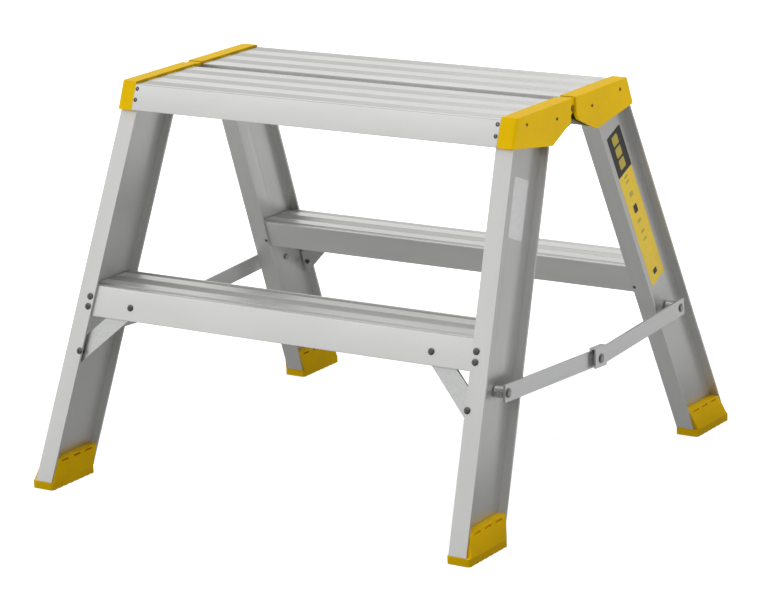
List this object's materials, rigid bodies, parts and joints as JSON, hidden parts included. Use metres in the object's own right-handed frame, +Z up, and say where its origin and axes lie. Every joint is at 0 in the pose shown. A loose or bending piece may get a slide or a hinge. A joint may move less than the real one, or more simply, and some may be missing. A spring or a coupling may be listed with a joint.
{
  "type": "folding step trestle",
  "caption": "Folding double-sided step trestle: two splayed aluminium ladder frames hinged under a ribbed platform, held open by folding side stays.",
  "frame": {"origin": "middle of the footprint, on the floor", "axes": "+X along the platform, -Y towards the front frame, +Z up"},
  "size_m": [0.6636, 0.652, 0.5],
  "materials": {
    "plank_aluminium": "extruded with shallow recessed bands, satin mill finish",
    "step_aluminium": "extruded with shallow recessed bands, satin mill finish",
    "stile_aluminium": "extruded, satin mill finish",
    "brace_aluminium": "flat bar, satin mill finish",
    "stay_aluminium": "flat bar, satin",
    "cap_plastic": "moulded yellow, semi-gloss",
    "foot_plastic": "moulded yellow, semi-gloss",
    "bracket_steel": "zinc plated sheet",
    "spacer_steel": "bright turned tube",
    "rivet_steel": "plated rivet"
  },
  "bodies": {
    "front_frame": {"front_left_stile": "stile_aluminium", "front_left_foot": "foot_plastic", "front_left_brace": "brace_aluminium", "front_left_step_rivet_upper": "rivet_steel", "front_left_step_rivet_lower": "rivet_steel", "front_left_brace_stile_rivet": "rivet_steel", "front_left_brace_step_rivet": "rivet_steel", "front_left_cap": "cap_plastic", "front_left_hinge_bracket": "bracket_steel", "front_right_stile": "stile_aluminium", "front_right_foot": "foot_plastic", "front_right_brace": "brace_aluminium", "front_right_step_rivet_upper": "rivet_steel", "front_right_step_rivet_lower": "rivet_steel", "front_right_brace_stile_rivet": "rivet_steel", "front_right_brace_step_rivet": "rivet_steel", "front_right_cap": "cap_plastic", "front_right_hinge_bracket": "bracket_steel", "front_plank": "plank_aluminium", "front_step": "step_aluminium", "right_hinge_pin": "rivet_steel", "right_front_spacer": "spacer_steel", "right_front_stay_rivet": "rivet_steel", "left_hinge_pin": "rivet_steel", "left_front_spacer": "spacer_steel", "left_front_stay_rivet": "rivet_steel"},
    "back_frame": {"back_left_stile": "stile_aluminium", "back_left_foot": "foot_plastic", "back_left_brace": "brace_aluminium", "back_left_step_rivet_upper": "rivet_steel", "back_left_step_rivet_lower": "rivet_steel", "back_left_brace_stile_rivet": "rivet_steel", "back_left_brace_step_rivet": "rivet_steel", "back_left_cap": "cap_plastic", "back_left_hinge_bracket": "bracket_steel", "back_right_stile": "stile_aluminium", "back_right_foot": "foot_plastic", "back_right_brace": "brace_aluminium", "back_right_step_rivet_upper": "rivet_steel", "back_right_step_rivet_lower": "rivet_steel", "back_right_brace_stile_rivet": "rivet_steel", "back_right_brace_step_rivet": "rivet_steel", "back_right_cap": "cap_plastic", "back_right_hinge_bracket": "bracket_steel", "back_plank": "plank_aluminium", "back_step": "step_aluminium", "right_rear_spacer": "spacer_steel", "right_rear_stay_rivet": "rivet_steel", "left_rear_spacer": "spacer_steel", "left_rear_stay_rivet": "rivet_steel"},
    "right_front_bar": {"right_front_stay_bar": "stay_aluminium", "right_middle_stay_rivet": "rivet_steel"},
    "right_rear_bar": {"right_rear_stay_bar": "stay_aluminium", "right_rear_bar_stud": "rivet_steel"},
    "left_front_bar": {"left_front_stay_bar": "stay_aluminium", "left_middle_stay_rivet": "rivet_steel"},
    "left_rear_bar": {"left_rear_stay_bar": "stay_aluminium", "left_rear_bar_stud": "rivet_steel"}
  },
  "joints": [
    {"name": "fold", "type": "hinge", "parent": "front_frame", "child": "back_frame", "pos_m": [0, 0, 0.486], "axis": [-1, 0, 0], "range_deg": [0, 51.8]},
    {"name": "right_front_stay_pivot", "type": "hinge", "parent": "front_frame", "child": "right_front_bar", "pos_m": [0.32, -0.21138, 0.183], "axis": [1, 0, 0], "range_deg": [0, 51.56]},
    {"name": "right_middle_stay_pivot", "type": "hinge", "parent": "right_front_bar", "child": "right_rear_bar", "pos_m": [0.322, 0, 0.171], "axis": [-1, 0, 0], "range_deg": [0, 154.86]},
    {"name": "left_front_stay_pivot", "type": "hinge", "parent": "front_frame", "child": "left_front_bar", "pos_m": [-0.32, -0.21138, 0.183], "axis": [1, 0, 0], "range_deg": [0, 51.56]},
    {"name": "left_middle_stay_pivot", "type": "hinge", "parent": "left_front_bar", "child": "left_rear_bar", "pos_m": [-0.322, 0, 0.171], "axis": [-1, 0, 0], "range_deg": [0, 154.86]}
  ],
  "couplings": [
    {"joint": "right_front_stay_pivot", "follows": "fold", "ratio": 0.99432},
    {"joint": "right_middle_stay_pivot", "follows": "fold", "ratio": 2.9886},
    {"joint": "left_front_stay_pivot", "follows": "fold", "ratio": 0.99432},
    {"joint": "left_middle_stay_pivot", "follows": "fold", "ratio": 2.9886}
  ]
}
